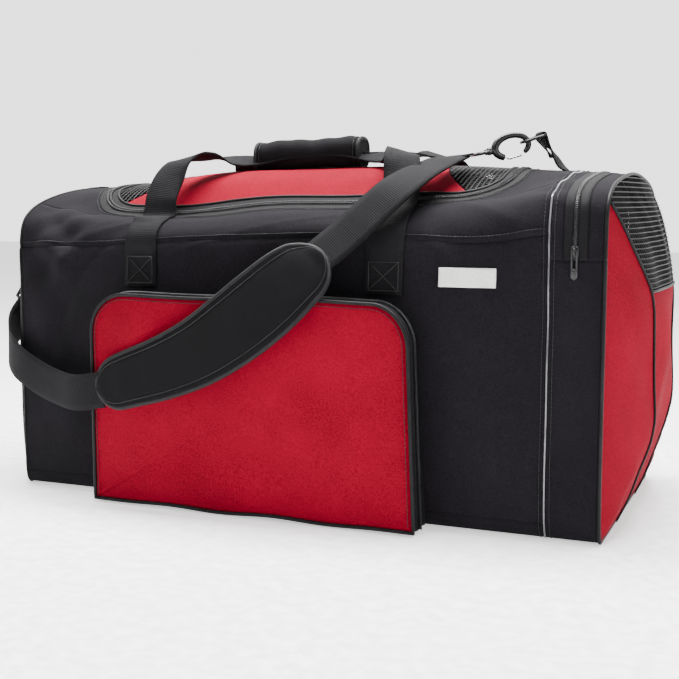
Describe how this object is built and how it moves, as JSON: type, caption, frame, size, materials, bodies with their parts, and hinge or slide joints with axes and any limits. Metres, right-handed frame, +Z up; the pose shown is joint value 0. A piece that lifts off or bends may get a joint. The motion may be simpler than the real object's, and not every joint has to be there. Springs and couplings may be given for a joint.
{
  "type": "hockey equipment bag",
  "caption": "Large soft sports duffel with a zip lid, front and end pockets, carry handles and a shoulder strap.",
  "frame": {"origin": "centre of the main compartment's base, on the surface the bag stands on", "axes": "+X along the bag towards the end pocket, -Y the front with the pocket, +Z up"},
  "size_m": [0.9586, 0.4839, 0.512],
  "materials": {
    "black_fabric": "woven polyester, matt, with a faint sheen",
    "red_fabric": "woven polyester, matt",
    "black_mesh": "open ribbed mesh",
    "webbing": "ribbed webbing",
    "padding": "padded fabric with bound edges",
    "zipper_tape": "coil zipper tape",
    "piping": "smooth satin piping",
    "label": "plain woven label",
    "hook_plastic": "moulded, satin",
    "black_metal": "black coated",
    "zip_metal": "polished",
    "pull_plastic": "moulded",
    "board": "plain"
  },
  "bodies": {
    "root": {"bottom_panel": "black_fabric", "front_panel": "black_fabric", "back_panel": "black_fabric", "top_front_strip": "black_fabric", "top_back_strip": "black_fabric", "top_left_strip": "black_fabric", "top_right_strip": "black_fabric", "lid_opening_zipper_tape": "zipper_tape", "left_end_panel": "black_fabric", "divider_panel": "black_fabric", "base_board": "board", "left_seam_piping": "piping", "right_seam_piping": "piping", "end_gusset_inner": "black_fabric", "end_zipper_tape_inner": "zipper_tape", "end_gusset_lower": "black_fabric", "end_panel_lower": "red_fabric", "end_piping_lower": "piping", "pocket_gusset_rear": "black_fabric", "pocket_zipper_tape_rear": "zipper_tape", "pocket_base_panel": "black_fabric", "label_patch": "label", "front_handle_legs": "webbing", "back_handle_legs": "webbing", "left_ring_tab": "webbing", "left_d_ring": "black_metal", "left_snap_hook": "hook_plastic", "strap_web_right": "webbing", "shoulder_pad": "padding", "strap_web_left": "webbing", "strap_adjuster": "hook_plastic"},
    "lid": {"lid_zipper_tape": "zipper_tape", "lid_centre_panel": "red_fabric", "lid_mesh_left": "black_mesh", "lid_mesh_right": "black_mesh"},
    "lid_slider": {"lid_slider": "zip_metal"},
    "lid_pull": {"lid_pull": "pull_plastic"},
    "front_handle": {"front_handle_loop": "webbing", "handle_wrap": "padding"},
    "back_handle": {"back_handle_loop": "webbing"},
    "right_clip": {"right_ring_tab": "webbing", "right_d_ring": "black_metal", "right_snap_hook": "hook_plastic"},
    "right_gate": {"right_hook_gate": "zip_metal"},
    "right_eye": {"right_swivel_eye": "hook_plastic"},
    "left_gate": {"left_hook_gate": "zip_metal"},
    "left_eye": {"left_swivel_eye": "hook_plastic"},
    "pocket_flap": {"pocket_zipper_tape_front": "zipper_tape", "pocket_gusset_front": "black_fabric", "pocket_front_panel": "red_fabric", "pocket_piping": "piping"},
    "pocket_slider": {"pocket_slider": "zip_metal"},
    "pocket_pull": {"pocket_pull": "pull_plastic"},
    "end_flap": {"end_zipper_tape_outer": "zipper_tape", "end_gusset_outer": "black_fabric", "end_mesh_panel": "black_mesh", "end_wings": "red_fabric", "end_piping_upper": "piping"},
    "end_slider": {"end_slider": "zip_metal"},
    "end_pull": {"end_pull": "pull_plastic"}
  },
  "joints": [
    {"name": "lid_open", "type": "hinge", "parent": "root", "child": "lid", "pos_m": [0, 0.135, 0.434], "axis": [-1, 0, 0], "range_deg": [0, 90]},
    {"name": "lid_slider_run", "type": "slide", "parent": "lid", "child": "lid_slider", "axis": [-1, 0, 0], "range_m": [0, 0.38]},
    {"name": "lid_pull_swing", "type": "hinge", "parent": "lid_slider", "child": "lid_pull", "pos_m": [0.1915, -0.13783, 0.42611], "axis": [0, 0.8924, 0.4512], "range_deg": [0, 120]},
    {"name": "front_handle_fold", "type": "hinge", "parent": "root", "child": "front_handle", "pos_m": [0, -0.168, 0.408], "axis": [1, 0, 0], "range_deg": [0, 180], "deforming": ["front_handle_loop", "handle_wrap", "back_handle_loop", "strap_web_right", "shoulder_pad", "strap_web_left", "right_ring_tab"]},
    {"name": "back_handle_fold", "type": "hinge", "parent": "root", "child": "back_handle", "pos_m": [0, 0.168, 0.408], "axis": [-1, 0, 0], "range_deg": [0, 180]},
    {"name": "right_clip_flip", "type": "hinge", "parent": "root", "child": "right_clip", "pos_m": [0.357, 0, 0.488], "axis": [-0.5, 0.866, 0], "range_deg": [0, 175.5]},
    {"name": "right_gate_open", "type": "hinge", "parent": "right_clip", "child": "right_gate", "pos_m": [0.28483, -0.0255, 0.4803], "axis": [0.5, -0.866, 0], "range_deg": [0, 25], "stiffness_Nm_per_rad": 0.03},
    {"name": "right_eye_swivel", "type": "hinge", "parent": "right_clip", "child": "right_eye", "pos_m": [0.29349, -0.0205, 0.495], "axis": [0.866, 0.5, 0], "range_deg": [-15, 15]},
    {"name": "left_gate_open", "type": "hinge", "parent": "root", "child": "left_gate", "pos_m": [-0.4517, -0.0306, 0.3582], "axis": [0, 0.8, -0.6], "range_deg": [0, 25], "stiffness_Nm_per_rad": 0.03},
    {"name": "left_eye_swivel", "type": "hinge", "parent": "root", "child": "left_eye", "pos_m": [-0.437, -0.0246, 0.3662], "axis": [0, 0.6, 0.8], "range_deg": [-15, 15]},
    {"name": "pocket_open", "type": "hinge", "parent": "root", "child": "pocket_flap", "pos_m": [0, -0.2485, 0.0055], "axis": [1, 0, 0], "range_deg": [0, 85]},
    {"name": "pocket_slider_run", "type": "slide", "parent": "root", "child": "pocket_slider", "axis": [0, 0, 1], "range_m": [0, 0.13]},
    {"name": "pocket_pull_swing", "type": "hinge", "parent": "pocket_slider", "child": "pocket_pull", "pos_m": [-0.239, -0.227, 0.0865], "axis": [0, 1, 0], "range_deg": [0, 120]},
    {"name": "end_pocket_open", "type": "hinge", "parent": "root", "child": "end_flap", "pos_m": [0.505, 0, 0.346], "axis": [0, 1, 0], "range_deg": [0, 60]},
    {"name": "end_slider_run", "type": "slide", "parent": "root", "child": "end_slider", "axis": [0, 0, 1], "range_m": [0, 0.03]},
    {"name": "end_pull_swing", "type": "hinge", "parent": "end_slider", "child": "end_pull", "pos_m": [0.419, -0.21, 0.3575], "axis": [-1, 0, 0], "range_deg": [0, 120]}
  ],
  "couplings": [
    {"joint": "front_handle_fold", "follows": "lid_open", "ratio": 2},
    {"joint": "back_handle_fold", "follows": "lid_open", "ratio": 2},
    {"joint": "right_clip_flip", "follows": "lid_open", "ratio": 1.95}
  ]
}
